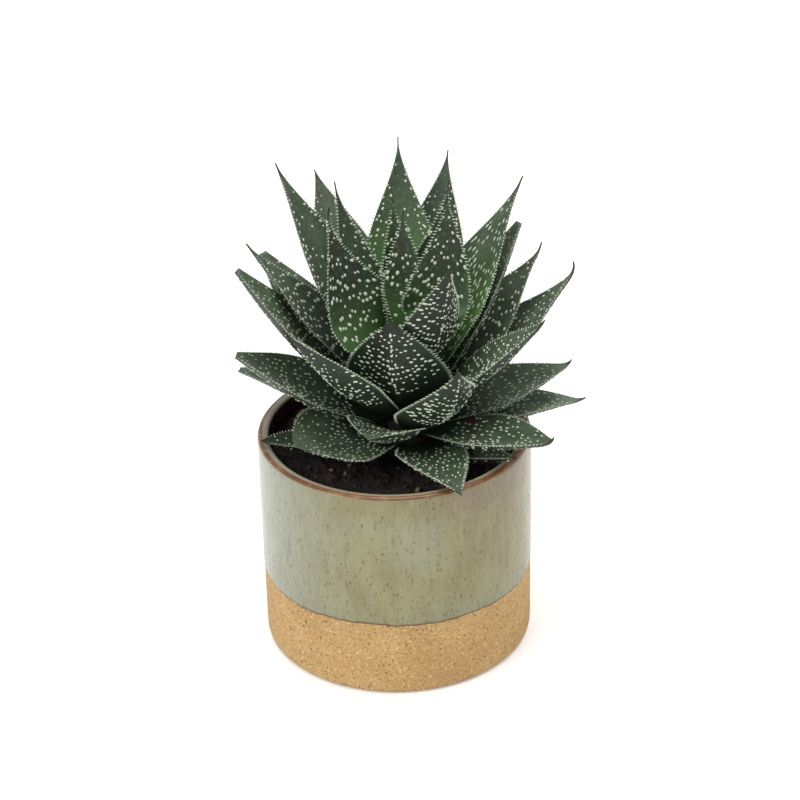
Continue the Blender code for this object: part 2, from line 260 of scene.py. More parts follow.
# How the spots of a face lie: rows this far apart along the leaf, spots this far apart in a
# row, the share of spots kept, their half length and half width, all sizes in millimetres,
# how far a row bows toward the base at the margins, the bare part next to the base, the lie
# of a spot, how loosely it keeps its place, and the share kept near the margins if it differs
Marks = namedtuple("Marks", "row_pitch spot_pitch keep long wide bow bare lie loose margin",
                   defaults=("along", 1.0, None))
MARKS = {
    "dotted": Marks(3.5, 2.4, 0.74, 0.90, 0.56, 0.05, 0.22),
    "bands": Marks(6.0, 1.9, 0.80, 1.08, 0.82, -0.07, 0.18, loose=1.7),
    "sparse": Marks(5.5, 2.5, 0.60, 1.00, 0.80, -0.04, 0.24),
    "edges": Marks(3.2, 2.4, 0.12, 0.95, 0.75, 0.0, 0.22, margin=0.9),
    "streaks": Marks(3.8, 1.9, 0.70, 1.55, 0.48, 0.05, 0.14),
    "rows": Marks(3.8, 2.2, 0.80, 0.72, 0.66, 0.06, 0.30, lie="across"),
    "arcs": Marks(3.4, 2.0, 0.76, 0.80, 0.60, -0.07, 0.36, lie="across", loose=0.5),
}

# Scars on a leaf: the part of its length, of its half width, and the radius in millimetres
SCARS = {"leaf_lower_7": [(0.28, 0.75, 2.1), (0.31, 0.64, 1.3)],
         "leaf_upper_5": [(0.34, 0.98, 2.4)],
         "leaf_upper_7": [(0.16, 0.98, 2.4)]}


def stem_radius(height):
    """The stem's radius at a height above the soil."""
    return STEM_FOOT + (STEM_TOP - STEM_FOOT) * height / STEM_HEIGHT


def spine(one, fractions):
    """The leaf's middle line at the given parts of its length, with its own directions."""
    steps = np.linspace(0, 1, SPINE_STEPS)
    hook = one.hook * np.clip((steps - HOOK_START) / (1 - HOOK_START), 0, 1) ** 1.5
    rise = np.radians(one.rise + one.bend * steps + one.curl * steps ** 4 + hook)
    heading = math.radians(one.azimuth)
    ahead = np.stack([np.cos(rise) * math.cos(heading), np.cos(rise) * math.sin(heading),
                      np.sin(rise)], axis=1)
    middle = (ahead[1:] + ahead[:-1]) / 2 * one.length / (len(steps) - 1)
    reach = stem_radius(one.seat) + GAP
    start = (STEM_X + reach * math.cos(heading), reach * math.sin(heading), SOIL_LEVEL + one.seat)
    points = np.vstack([np.zeros(3), np.cumsum(middle, axis=0)]) + start
    across = np.tile((-math.sin(heading), math.cos(heading), 0.0), (len(steps), 1))
    up = np.cross(ahead, across)
    roll = np.radians(one.roll) * np.clip(steps / ROLL_FULL, 0, 1)[:, None]
    across, up = (across * np.cos(roll) + up * np.sin(roll),
                  up * np.cos(roll) - across * np.sin(roll))
    return [np.stack([np.interp(fractions, steps, v[:, k]) for k in range(3)], axis=1)
            for v in (points, ahead, across, up)]


def half_width(one, s):
    """Half the blade's width: it widens from its clasping base, then draws in to a fine tip."""
    grow = one.base + (1 - one.base) * np.clip(s / one.widest, 0, 1) ** 0.85
    left = np.clip((1 - s) / (1 - one.widest), 0, 1)
    fall = np.sin(left * math.pi / 2) ** one.taper
    end = TIP_WIDTH
    if one.tip == "blunt":
        end = BLUNT_WIDTH * np.sqrt(np.clip((BLADE_END + 0.002 - s) / BLUNT_ROUND, 0.02, 1))
    return np.maximum(one.width / 2 * np.where(s < one.widest, grow, fall), end)


def thickness(s):
    """The blade's thickness on its middle line."""
    grow = BASE_BODY + (1 - BASE_BODY) * np.sin(np.clip(s / WIDEST, 0, 1) * math.pi / 2)
    fall = 1 - np.clip((s - WIDEST) / (BLADE_END - WIDEST), 0, 1) ** 1.5
    body = EDGE_THICKNESS + BODY_THICKNESS * np.where(s < WIDEST, grow, fall)
    return body * (1 - TIP_THINNING * np.clip((s - BLADE_END) / (1 - BLADE_END), 0, 1))


def surface(one, s, v, inner):
    """Points at the parts s of the length and v of the half width, -1 to 1.

    inner picks the hollow inner face; the outer face bulges and has a low keel.
    """
    points, _, across, up = spine(one, s)
    half = half_width(one, s)
    height = CUP * half * np.abs(v) ** CUP_CURVE
    body = thickness(s) * np.clip(1 - np.abs(v) ** BODY_CURVE, 0, 1)
    keel = KEEL * np.exp(-(v / KEEL_SPREAD) ** 2) * np.sin(math.pi * np.clip(s, 0, 1))
    height = height - np.where(inner, 0, body + keel + MARGIN_EDGE)
    return points + across * (half * v)[:, None] + up * height[:, None]


def normals(one, s, v, inner):
    """Unit normals of a face, pointing out of the leaf."""
    ds = 0.002
    dv = 0.02
    along = surface(one, s + ds, v, inner) - surface(one, s - ds, v, inner)
    side = surface(one, s, v + dv, inner) - surface(one, s, v - dv, inner)
    n = np.cross(along, side)
    n /= np.maximum(np.linalg.norm(n, axis=1), 1e-12)[:, None]
    return np.where(np.reshape(inner, (-1, 1)), n, -n)


class Builder:
    """Collects vertices, faces and one number of each kind per vertex for one mesh."""

    def __init__(self, *kinds):
        self.kinds = kinds
        self.points = []
        self.numbers = {kind: [] for kind in kinds}
        self.faces = []
        self.count = 0

    def add(self, points, faces, **numbers):
        """Adds one more closed shape, with a number or a row of numbers for each kind."""
        self.points.append(points)
        for kind in self.kinds:
            value = numbers.get(kind, 0.0)
            self.numbers[kind].append(np.broadcast_to(value, len(points)).astype(float))
        self.faces.extend([tuple(int(k) + self.count for k in face) for face in faces])
        self.count += len(points)

    def fill(self, kind, value):
        """Gives every vertex so far the same number."""
        self.numbers[kind] = [np.full(self.count, value)]

    def build(self, name, material):
        """Makes the object, with each kind of number as an attribute of its vertices."""
        mesh = bpy.data.meshes.new(name)
        mesh.from_pydata(np.vstack(self.points).tolist(), [], self.faces)
        for kind in self.kinds:
            layer = mesh.attributes.new(kind, "FLOAT", "POINT")
            layer.data.foreach_set("value", np.concatenate(self.numbers[kind]).astype(np.float32))
        mesh.materials.append(material)
        mesh.shade_smooth()
        item = bpy.data.objects.new(name, mesh)
        bpy.context.collection.objects.link(item)
        return item


def add_blade(build, one):
    """The blade as rings of points, closed at its base and drawn out to its bristle."""
    s_rows = np.linspace(0, BLADE_END, ROWS)
    if one.tip == "bristle":
        s_rows = np.concatenate([s_rows, np.linspace(BLADE_END, 1, TIP_ROWS)[1:]])
    turn = np.linspace(1, -1, ACROSS + 1)
    # closer together near the margins
    turn = np.sign(turn) * (1 - (1 - np.abs(turn)) ** MARGIN_CROWDING)
    v_ring = np.concatenate([turn, turn[::-1]])
    inner_ring = np.concatenate([np.ones(ACROSS + 1, bool), np.zeros(ACROSS + 1, bool)])
    ring = len(v_ring)
    s = np.repeat(s_rows, ring)
    v = np.tile(v_ring, len(s_rows))
    inner = np.tile(inner_ring, len(s_rows))
    points = surface(one, s, v, inner)
    faces = []
    for i in range(len(s_rows) - 1):
        for j in range(ring):
            k = (j + 1) % ring
            faces.append((i * ring + j, (i + 1) * ring + j, (i + 1) * ring + k, i * ring + k))
    faces.append(tuple(range(ring)))
    faces.append(tuple(reversed(range((len(s_rows) - 1) * ring, len(s_rows) * ring))))
    scar = np.zeros(len(s))
    for s_scar, v_scar, radius in SCARS.get(one.name, []):
        middle = surface(one, np.array([s_scar]), np.array([v_scar]), True)
        away = np.linalg.norm(points - middle, axis=1)
        scar = np.maximum(scar, np.exp(-(away / (radius * MM)) ** 2))
    build.add(points, faces, along=s, across=v, face=inner.astype(float), scar=scar)


def add_teeth(build, one, rng):
    """Small pale teeth along both margins, each a bent four-sided spine."""
    for side in (1, -1):
        count = int(TOOTHED_PART * one.length / TOOTH_PITCH)
        s = np.linspace(FIRST_TOOTH, LAST_TOOTH, count)
        s = s + rng.uniform(-0.15, 0.15, count) * TOOTHED_PART / count
        size = TOOTH_LENGTH * rng.uniform(0.75, 1.08, count)
        # smaller toward the base and the tip
        size = size * np.clip((s - 0.08) / 0.12, 0.35, 1) * np.clip((0.98 - s) / 0.10, 0.4, 1)
        ahead, across, up = spine(one, s)[1:]
        edge = surface(one, s, np.full(count, float(side)), True) - up * MARGIN_EDGE / 2
        lean = rng.uniform(0.05, 0.4, count)[:, None]
        out = across * side + up * 0.3
        out /= np.linalg.norm(out, axis=1)[:, None]
        half = TOOTH_BASE / 2 * (size / TOOTH_LENGTH)
        root = edge - out * TOOTH_ROOT
        thick = up * TOOTH_THICKNESS
        faces = TOOTH_FACES if side > 0 else [face[::-1] for face in TOOTH_FACES]
        for k in range(count):
            base = [root[k] - ahead[k] * half[k], root[k] + thick[k] * 1.1,
                    root[k] + ahead[k] * half[k], root[k] - thick[k] * 1.1]
            middle = edge[k] + out[k] * size[k] * 0.45 + ahead[k] * size[k] * lean[k] * 0.3
            belt = [middle - ahead[k] * half[k] * 0.5, middle + thick[k] * 0.6,
                    middle + ahead[k] * half[k] * 0.5, middle - thick[k] * 0.6]
            tip = edge[k] + out[k] * size[k] + ahead[k] * size[k] * lean[k]
            build.add(np.array(base + belt + [tip]), faces, along=s[k], across=float(side),
                      face=1.0, spot=[0.5] * 4 + [0.85] * 4 + [1.0])


def spot_places(one, inner, marks, rng):
    """Where the spots of one face lie: s, v, half length and half width of each."""
    places = []
    rows = np.arange(marks.bare * one.length, LAST_SPOT_ROW * one.length, marks.row_pitch * MM)
    for row in rows:
        s_row = row / one.length
        half = float(half_width(one, np.array([s_row]))[0])
        count = max(2, int(2 * half * 0.9 / (marks.spot_pitch * MM)))
        shift = rng.uniform(-0.5, 0.5)
        drift = rng.uniform(-0.35, 0.35)
        for k in range(count):
            v = (k + 0.5 + 0.45 * shift) / count * 2 - 1
            keep = marks.keep
            if marks.margin and MARGIN_BAND[0] < abs(v) < MARGIN_BAND[1]:
                keep = marks.margin
            if abs(v) > SPOT_MARGIN or rng.random() > keep:
                continue
            v += rng.normal(0, 0.25) * marks.loose / count
            stray = drift * v + rng.normal(0, 0.16) * marks.loose
            s = s_row + stray * marks.row_pitch * MM / one.length
            s -= marks.bow * v * v * 2 * half / one.length * 4
            if s < marks.bare * 0.9 or s > SPOT_END:
                continue
            grow = rng.uniform(0.7, 1.15) * np.clip(0.6 + (0.95 - s), 0.6, 1)
            long, wide = marks.long * MM * grow, marks.wide * MM * grow
            if marks.lie == "across":
                wide, long = long * rng.uniform(0.85, 1.45), wide
            places.append((s, np.clip(v, -SPOT_MARGIN, SPOT_MARGIN), long, wide))
    if not inner:
        # a line of spots along the keel
        for row in np.arange(0.4 * one.length, 0.92 * one.length, KEEL_SPOT_PITCH):
            s = (row + rng.normal(0, 0.5) * MM) / one.length
            grow = rng.uniform(0.5, 1.1)
            places.append((s, rng.normal(0, 0.03), grow * MM, 0.62 * grow * MM))
    return np.array(places)


def add_spots(build, one, inner, kind, rng):
    """Raised pale spots, each a low dome that follows the face under it."""
    places = spot_places(one, inner, MARKS[kind], rng)
    if len(places) == 0:
        return
    sides = SPOT_SIDES
    s0, v0, long, wide = places.T
    half = half_width(one, s0)
    rise = np.minimum(long, wide) * SPOT_HEIGHT
    flags = np.full(len(s0), inner)
    up = normals(one, s0, v0, flags)
    layers = []
    for spread, height, _ in SPOT_RINGS:
        for a in np.arange(sides) * 2 * math.pi / sides:
            s = s0 + long * spread * math.cos(a) / one.length
            v = np.clip(v0 + wide * spread * math.sin(a) / half, -0.99, 0.99)
            layers.append(surface(one, s, v, flags) + up * (rise * height)[:, None])
    layers.append(surface(one, s0, v0, flags) + up * rise[:, None])
    points = np.stack(layers, axis=1)
    each = points.shape[1]
    faces = []
    for ring in range(len(SPOT_RINGS) - 1):
        for a in range(sides):
            b = (a + 1) % sides
            low, high = ring * sides, (ring + 1) * sides
            faces.append((low + a, low + b, high + b, high + a))
    top = (len(SPOT_RINGS) - 1) * sides
    for a in range(sides):
        faces.append((top + a, top + (a + 1) % sides, each - 1))
    if inner:
        faces = [f[::-1] for f in faces]
    pale = np.append(np.repeat([ring[2] for ring in SPOT_RINGS], sides), 1.0)
    whole = []
    for dome in range(len(s0)):
        whole += [tuple(k + dome * each for k in face) for face in faces]
    build.add(points.reshape(-1, 3), whole, along=np.repeat(s0, each), across=np.repeat(v0, each),
              face=float(inner), spot=np.tile(pale, len(s0)))


def make_leaf(one, number, material):
    """One leaf with its teeth and spots, over its plain solid where it has one."""
    rng = np.random.default_rng(1000 + number)
    build = Builder("along", "across", "face", "spot", "scar", "fresh", "tone", "bloom", "dry")
    add_blade(build, one)
    add_teeth(build, one, rng)
    add_spots(build, one, True, one.inner, rng)
    add_spots(build, one, False, one.outer, rng)
    for kind in ("fresh", "tone", "bloom", "dry"):
        build.fill(kind, getattr(one, kind))
    item = build.build(one.name.replace("leaf_", "blade_"), material)
    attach(item, "root")
    if one not in BUDS:
        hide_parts(one.name)
    return item


class Nodes:
    """Short ways to add and join shader nodes."""

    def __init__(self, name):
        self.material = bpy.data.materials.new(name)
        self.material.use_nodes = True
        self.tree = self.material.node_tree
        self.shader = self.tree.nodes["Principled BSDF"]

    def node(self, kind, **settings):
        """A new node with its settings."""
        made = self.tree.nodes.new("ShaderNode" + kind)
        for key, value in settings.items():
            setattr(made, key, value)
        return made

    def put(self, socket, value):
        """Links a socket to an input, or sets the input's own value."""
        if isinstance(value, bpy.types.NodeSocket):
            self.tree.links.new(value, socket)
        else:
            socket.default_value = value

    def number(self, name):
        """A number that the mesh carries at its vertices."""
        return self.node("Attribute", attribute_name=name).outputs["Fac"]

    def math(self, operation, a, b=0.0):
        """One step of arithmetic on numbers or sockets."""
        made = self.node("Math", operation=operation)
        self.put(made.inputs[0], a)
        self.put(made.inputs[1], b)
        return made.outputs[0]

    def times(self, a, b):
        return self.math("MULTIPLY", a, b)

    def plus(self, a, b):
        return self.math("ADD", a, b)

    def minus(self, a, b):
        return self.math("SUBTRACT", a, b)

    def between(self, value, low, high, to_low=0.0, to_high=1.0):
        """Runs smoothly from to_low to to_high while the value runs from low to high."""
        made = self.node("MapRange", interpolation_type="SMOOTHSTEP")
        for socket, item in zip(made.inputs, (value, low, high, to_low, to_high)):
            self.put(socket, item)
        return made.outputs[0]

    def mix(self, factor, a, b):
        """The colour a, with b laid over it by the factor."""
        made = self.node("Mix", data_type="RGBA")
        self.put(made.inputs[0], factor)
        self.put(made.inputs[6], a)
        self.put(made.inputs[7], b)
        return made.outputs[2]

    def place(self, scale=(1, 1, 1)):
        """Coordinates fixed to the object, stretched as asked."""
        mapping = self.node("Mapping")
        self.put(mapping.inputs["Vector"], self.node("TexCoord").outputs["Object"])
        mapping.inputs["Scale"].default_value = scale
        return mapping.outputs[0]

    def noise(self, vector, scale, detail=4.0, roughness=0.55):
        """Cloudy noise about 0.5."""
        made = self.node("TexNoise")
        self.put(made.inputs["Vector"], vector)
        made.inputs["Scale"].default_value = scale
        made.inputs["Detail"].default_value = detail
        made.inputs["Roughness"].default_value = roughness
        return made.outputs["Fac"]

    def cells(self, vector, scale):
        """Scattered cells: the distance from a cell's middle, and three numbers of its own."""
        made = self.node("TexVoronoi", feature="F1")
        self.put(made.inputs["Vector"], vector)
        made.inputs["Scale"].default_value = scale
        own = self.node("SeparateColor")
        self.put(own.inputs[0], made.outputs["Color"])
        return made.outputs["Distance"], own.outputs

    def bump(self, height, strength, distance):
        """Fine relief in the shading, after the mesh has the visible shape."""
        made = self.node("Bump")
        self.put(made.inputs["Height"], height)
        made.inputs["Strength"].default_value = strength
        made.inputs["Distance"].default_value = distance
        self.put(self.shader.inputs["Normal"], made.outputs[0])


def srgb(red, green, blue):
    """The linear colour of three values from 0 to 255, as a screen shows them."""
    def linear(value):
        value /= 255
        return value / 12.92 if value <= 0.04045 else ((value + 0.055) / 1.055) ** 2.4
    return (linear(red), linear(green), linear(blue), 1)


# Colours of the leaves, the glaze, the bare clay, the soil and the stem
LEAF_DEEP = srgb(36, 51, 35)
LEAF_GREEN = srgb(50, 70, 45)
LEAF_BROWN = srgb(54, 54, 45)
LEAF_UMBER = srgb(42, 44, 37)
# grey bloom of the skin, also used as painted light on leaves in shade
LEAF_BLOOM_AND_PAINTED_LIGHT = srgb(102, 116, 95)
LEAF_GHOST = srgb(120, 138, 108)
LEAF_OUTER = srgb(19, 25, 17)
LEAF_YOUNG = srgb(80, 124, 54)
# painted shade at the bases of the older leaves
LEAF_SHADE = srgb(30, 40, 30)
MARGIN_PALE = srgb(140, 152, 124)
TIP_DARK = srgb(26, 22, 18)
TIP_DRY = srgb(64, 54, 44)
SCAR_BROWN = srgb(58, 40, 30)
SCAR_RED = srgb(104, 26, 38)
SPOT_DULL = srgb(172, 186, 160)
SPOT_PALE = srgb(216, 224, 202)
GLAZE_SAGE = srgb(142, 138, 102)
GLAZE_OLIVE = srgb(133, 125, 91)
# grey blue of the band under the rim, also used as a painted reflection on the left side
GLAZE_BLUE_AND_REFLECTION = srgb(144, 149, 134)
# painted shade on the right side of the glaze
GLAZE_PAINTED_SHADE = srgb(126, 108, 90)
GLAZE_FLECK = srgb(108, 106, 64)
GLAZE_RUN = srgb(150, 152, 128)
GLAZE_POOL = srgb(124, 128, 106)
SPECK_OLIVE = srgb(98, 96, 40)
SPECK_BROWN = srgb(76, 54, 36)
IRON = srgb(128, 86, 50)
IRON_DARK = srgb(94, 60, 38)
EDGE_DARK = srgb(78, 60, 40)
LIP_PALE = srgb(146, 143, 128)
INSIDE_DARK = srgb(58, 34, 28)
INSIDE_RUST = srgb(86, 50, 38)
CLAY = srgb(190, 156, 104)
CLAY_WARM = srgb(176, 140, 90)
CLAY_RING = srgb(166, 128, 78)
CLAY_PALE = srgb(212, 182, 130)
CLAY_DEEP = srgb(150, 114, 66)
GRIT_CREAM = srgb(228, 206, 158)
GRIT_DARK = srgb(72, 50, 30)
GRIT_BROWN = srgb(128, 92, 52)
SOIL_DARK = srgb(17, 12, 12)
SOIL_BROWN = srgb(44, 31, 28)
SOIL_FIBRE = srgb(98, 76, 60)
SOIL_GRAIN = srgb(150, 128, 104)
STEM_DARK = srgb(22, 28, 20)
STEM_GREEN = srgb(34, 36, 26)


def leaf_material():
    """Green blades, browner or greyer by leaf, with pale spots, teeth and margins."""
    n = Nodes("gasteria_leaf")
    along, across = n.number("along"), n.math("ABSOLUTE", n.number("across"))
    inner, spot = n.number("face"), n.number("spot")
    fresh, tone = n.number("fresh"), n.number("tone")
    here = n.place()
    patches = n.noise(here, 45, 5)
    fine = n.noise(here, 420, 4)
    green = n.mix(n.between(patches, 0.35, 0.65), LEAF_DEEP, LEAF_GREEN)
    brown = n.mix(n.between(fine, 0.3, 0.7), LEAF_BROWN, LEAF_UMBER)
    # the grey-brown lies in the middle of the blade and leaves its base and margins green
    middle = n.times(n.between(across, 0.95, 0.55), n.between(along, 0.22, 0.42))
    mottle = n.times(middle, n.between(n.noise(here, 28, 3), 0.36, 0.56, 0.35, 1.0))
    color = n.mix(n.times(tone, mottle), green, brown)
    # a thin grey bloom lies in soft lengthwise clouds on the outer leaves; on leaves that sit in
    # shade it is raised high, and there it is partly painted light that lifts them
    cloud = n.between(n.noise(here, 75, 5, 0.6), 0.30, 0.66, 0.35, 1.0)
    haze_and_painted_light = n.times(n.times(n.number("bloom"), cloud), n.between(along, 0.18, 0.45))
    color = n.mix(haze_and_painted_light, color, LEAF_BLOOM_AND_PAINTED_LIGHT)
    # faint spots under the skin, between the raised ones
    under = n.cells(here, 420)[0]
    ghost = n.times(n.between(under, 0.42, 0.15), n.between(along, 0.25, 0.4))
    color = n.mix(n.times(ghost, 0.22), color, LEAF_GHOST)
    # the outer faces are darker, less so on the young leaves
    dull = n.minus(0.72, n.times(fresh, 0.35))
    color = n.mix(n.times(n.minus(1.0, inner), dull), color, LEAF_OUTER)
    # inner leaves are bright green toward their base; the others are bare there and get painted
    # shade, darker where they crowd the stem
    reach = n.plus(n.times(fresh, 0.35), 0.45)
    low = n.between(along, reach, n.times(fresh, 0.3))
    lively = n.times(n.times(low, fresh), inner)
    color = n.mix(lively, color, LEAF_YOUNG)
    # painted shade: older leaves darker toward the base, where the leaves crowd round the stem
    shade = n.times(n.between(along, 0.34, 0.12), n.minus(1.0, fresh))
    color = n.mix(n.times(shade, 0.6), color, LEAF_SHADE)
    # the pale horny margin
    rim = n.between(across, 0.965, 0.99)
    rim = n.times(rim, n.between(along, 0.96, 0.90))
    color = n.mix(n.times(rim, 0.4), color, MARGIN_PALE)
    # the dry tip
    dry = n.between(n.plus(along, n.times(fine, 0.03)), 0.965, 0.99)
    dry = n.times(dry, n.number("dry"))
    color = n.mix(dry, color, n.mix(fine, TIP_DARK, TIP_DRY))
    # scars, dark red in the middle with a brown edge
    scar = n.number("scar")
    color = n.mix(n.between(scar, 0.25, 0.5), color, SCAR_BROWN)
    color = n.mix(n.between(scar, 0.5, 0.75), color, SCAR_RED)
    # spots and teeth
    color = n.mix(spot, color, n.mix(fine, SPOT_DULL, SPOT_PALE))
    n.put(n.shader.inputs["Base Color"], color)
    n.put(n.shader.inputs["Roughness"], n.between(fine, 0.2, 0.8, 0.46, 0.60))
    n.shader.inputs["Specular IOR Level"].default_value = 0.32
    n.bump(n.plus(fine, n.times(patches, 0.6)), 0.25, 0.0006)
    return n.material


def glaze_material():
    """A glossy sage glaze with clouds, runs and specks, brown on the rim."""
    n = Nodes("sage_glaze")
    height = n.number("height")
    here = n.place()
    side = n.node("SeparateXYZ")
    n.put(side.inputs[0], here)
    streaks = n.noise(n.place((1, 1, 0.16)), 420, 6, 0.65)
    clouds = n.noise(n.place((1, 1, 0.8)), 22, 4)
    wash = n.noise(n.place((1, 1, 0.5)), 60, 5)
    color = n.mix(n.between(wash, 0.36, 0.62), GLAZE_SAGE, GLAZE_OLIVE)
    # grey blue glaze in a band under the rim, and a paler grey blue painted reflection on the
    # pot's left side
    band = n.times(n.between(height, 0.066, 0.082), n.between(height, 0.104, 0.092))
    band = n.times(band, n.between(clouds, 0.44, 0.62, 0.0, 0.45))
    # the left side part is a painted reflection, the band is the glaze's own colour
    band_and_painted_reflection = n.plus(n.between(side.outputs[0], -0.018, -0.060, 0.0, 0.8), band)
    color = n.mix(n.math("MINIMUM", band_and_painted_reflection, 0.85), color, GLAZE_BLUE_AND_REFLECTION)
    # painted shade: the glaze darker and rosier on the right side toward the top
    painted_right_shade = n.times(n.between(side.outputs[0], 0.0, 0.045), n.between(height, 0.085, 0.105))
    color = n.mix(n.times(painted_right_shade, 0.7), color, GLAZE_PAINTED_SHADE)
    # olive flecks and paler runs
    color = n.mix(n.between(streaks, 0.52, 0.68, 0.0, 0.42), color, GLAZE_FLECK)
    color = n.mix(n.between(streaks, 0.45, 0.30, 0.0, 0.45), color, GLAZE_RUN)
    # bluer where it pools above its lower edge
    pool = n.between(height, 0.054, 0.040)
    pool = n.times(pool, n.between(clouds, 0.42, 0.6, 0.1, 0.4))
    color = n.mix(pool, color, GLAZE_POOL)
    # brown and olive specks of two sizes, a little drawn out, more of them lower down
    for scale, stretch, least, dark in ((620, 0.55, 0.90, 0.75), (980, 0.5, 0.84, 0.9)):
        middle, own = n.cells(n.place((1, 1, stretch)), scale)
        crowd = n.minus(least, n.times(n.between(height, 0.105, 0.055), 0.14))
        chosen = n.math("GREATER_THAN", own[0], crowd)
        dot = n.times(n.between(middle, 0.5, 0.15), chosen)
        dot = n.times(dot, n.between(own[2], 0.0, 1.0, 0.3, dark))
        color = n.mix(dot, color, n.mix(own[1], SPECK_OLIVE, SPECK_BROWN))
    # the glaze breaks to iron brown on the rim and has a dark ragged line at its lower edge
    rust = n.noise(here, 190, 4)
    iron = n.times(n.between(n.number("rim"), 0.3, 0.8), n.between(rust, 0.25, 0.55, 0.82, 1.0))
    color = n.mix(iron, color, n.mix(n.between(rust, 0.25, 0.75), IRON, IRON_DARK))
    ragged = n.plus(n.number("edge"), n.times(rust, 0.0012))
    line = n.times(n.between(ragged, 0.0022, 0.0010), 0.85)
    color = n.mix(line, color, EDGE_DARK)
    # the lip is pale, the wall inside is dark red brown
    lip = n.between(n.number("inside"), 0.0, 0.15)
    color = n.mix(lip, color, LIP_PALE)
    deep = n.between(n.plus(n.number("inside"), n.times(rust, 0.25)), 0.55, 0.85)
    color = n.mix(deep, color, n.mix(n.between(rust, 0.4, 0.6), INSIDE_DARK, INSIDE_RUST))
    n.put(n.shader.inputs["Base Color"], color)
    n.put(n.shader.inputs["Roughness"], n.between(streaks, 0.3, 0.7, 0.18, 0.32))
    n.shader.inputs["Specular IOR Level"].default_value = 0.35
    n.shader.inputs["Coat Weight"].default_value = 0.06
    n.shader.inputs["Coat Roughness"].default_value = 0.08
    n.bump(n.plus(clouds, n.times(streaks, 0.35)), 0.25, 0.0008)
    return n.material


def clay_material():
    """Bare sandy clay with turned rings and fine grit."""
    n = Nodes("bare_clay")
    here = n.place()
    clouds = n.noise(here, 40, 5)
    turned = n.noise(n.place((0.15, 0.15, 1)), 330, 3)
    grain = n.noise(here, 700, 4, 0.7)
    # lighter and darker clouds, turned rings and sandy grain
    color = n.mix(n.between(clouds, 0.3, 0.7), CLAY, CLAY_WARM)
    color = n.mix(n.between(turned, 0.5, 0.7, 0.0, 0.3), color, CLAY_RING)
    color = n.mix(n.between(grain, 0.52, 0.72, 0.0, 0.8), color, CLAY_PALE)
    color = n.mix(n.between(grain, 0.46, 0.30, 0.0, 0.7), color, CLAY_DEEP)
    # grit of two sizes, cream and brown
    relief = grain
    for scale, least in ((600, 0.93), (900, 0.80)):
        middle, own = n.cells(here, scale)
        near = n.between(middle, 0.5, 0.2)
        pale = n.times(near, n.math("GREATER_THAN", own[1], least))
        dark = n.times(near, n.math("GREATER_THAN", own[0], least))
        color = n.mix(n.times(pale, 0.6), color, GRIT_CREAM)
        brown = n.mix(own[2], GRIT_DARK, GRIT_BROWN)
        color = n.mix(n.times(dark, 0.85), color, brown)
        relief = n.plus(relief, n.times(pale, 0.4))
    n.put(n.shader.inputs["Base Color"], color)
    n.shader.inputs["Roughness"].default_value = 0.9
    n.bump(n.plus(relief, n.times(turned, 0.4)), 0.6, 0.0007)
    return n.material


def soil_material():
    """Dark crumbly soil with a few pale grains."""
    n = Nodes("potting_soil")
    here = n.place()
    lumps = n.noise(here, 160, 6, 0.7)
    fine = n.noise(here, 900, 4, 0.7)
    color = n.mix(n.between(lumps, 0.35, 0.7), SOIL_DARK, SOIL_BROWN)
    color = n.mix(n.between(fine, 0.62, 0.78, 0.0, 0.5), color, SOIL_FIBRE)
    color = n.mix(n.number("pale"), color, SOIL_GRAIN)
    n.put(n.shader.inputs["Base Color"], color)
    n.shader.inputs["Roughness"].default_value = 0.85
    n.bump(n.plus(lumps, n.times(fine, 0.5)), 0.9, 0.0015)
    return n.material


def stem_material():
    """The stem's dark ringed skin."""
    n = Nodes("stem_skin")
    rings = n.noise(n.place((1, 1, 6)), 60, 4)
    n.put(n.shader.inputs["Base Color"], n.mix(rings, STEM_DARK, STEM_GREEN))
    n.shader.inputs["Roughness"].default_value = 0.6
    n.bump(rings, 0.5, 0.001)
    return n.material


def glaze_edge(turn):
    """The height of the glaze's lower edge round the pot: nearly level, a little wavy."""
    return GLAZE_LINE + sum(size * math.sin(count * turn + start)
                            for count, size, start in GLAZE_WAVES) * MM


def pot_profile(turn):
    """Round the pot's wall from the middle of its foot to the middle of its inside.

    Each point is (radius, height, rim, inside): how far it is on the brown rim, and inside.
    The second result is how many of the points, from the first on, are bare clay.
    """
    line = glaze_edge(turn)
    outer = POT_RADIUS
    bare = POT_RADIUS - GLAZE_THICKNESS
    # the foot and the bare clay
    rows = [(0.0, FOOT_SHAPE[0][1] * MM, 0, 0)]
    rows += [(outer - inset * MM, z * MM, 0, 0) for inset, z in FOOT_SHAPE]
    rows += [(bare, FOOT_END + (line - FOOT_END) * k / CLAY_RINGS, 0, 0)
             for k in range(CLAY_RINGS)]
    rows += [(bare, line - 0.1 * MM, 0, 0)]
    split = len(rows)
    # the glaze from its thin lower edge up the wall
    rows += [(bare + 0.12 * MM, line, 0, 0), (outer - 0.03 * MM, line + 0.35 * MM, 0, 0)]
    low = line + 1 * MM
    lip = RIM_ROUND
    top = POT_HEIGHT - lip
    rows += [(outer, low + (top - low) * k / WALL_RINGS, 0, 0) for k in range(WALL_RINGS + 1)]
    # round the rim, then over its inner side
    for k, brown in enumerate(RIM_BROWN, 1):
        a = math.radians(k * 90 / RIM_RINGS)
        rows.append((outer - lip + lip * math.cos(a), top + lip * math.sin(a), brown, 0))
    inner = outer - WALL
    for k in range(1, RIM_RINGS + 1):
        a = math.radians(90 + k * 90 / RIM_RINGS)
        rows.append((inner + lip + lip * math.cos(a), top + lip * math.sin(a), 0, k / RIM_RINGS))
    # down the wall inside and over the floor
    rows += [(inner, z * MM, 0, 1) for z in (108, 104, 98, 80, 50, 20)]
    rows += [(inner - 2 * MM, 12 * MM, 0, 1), (inner - 8 * MM, FLOOR, 0, 1), (0.0, FLOOR, 0, 1)]
    return rows, split


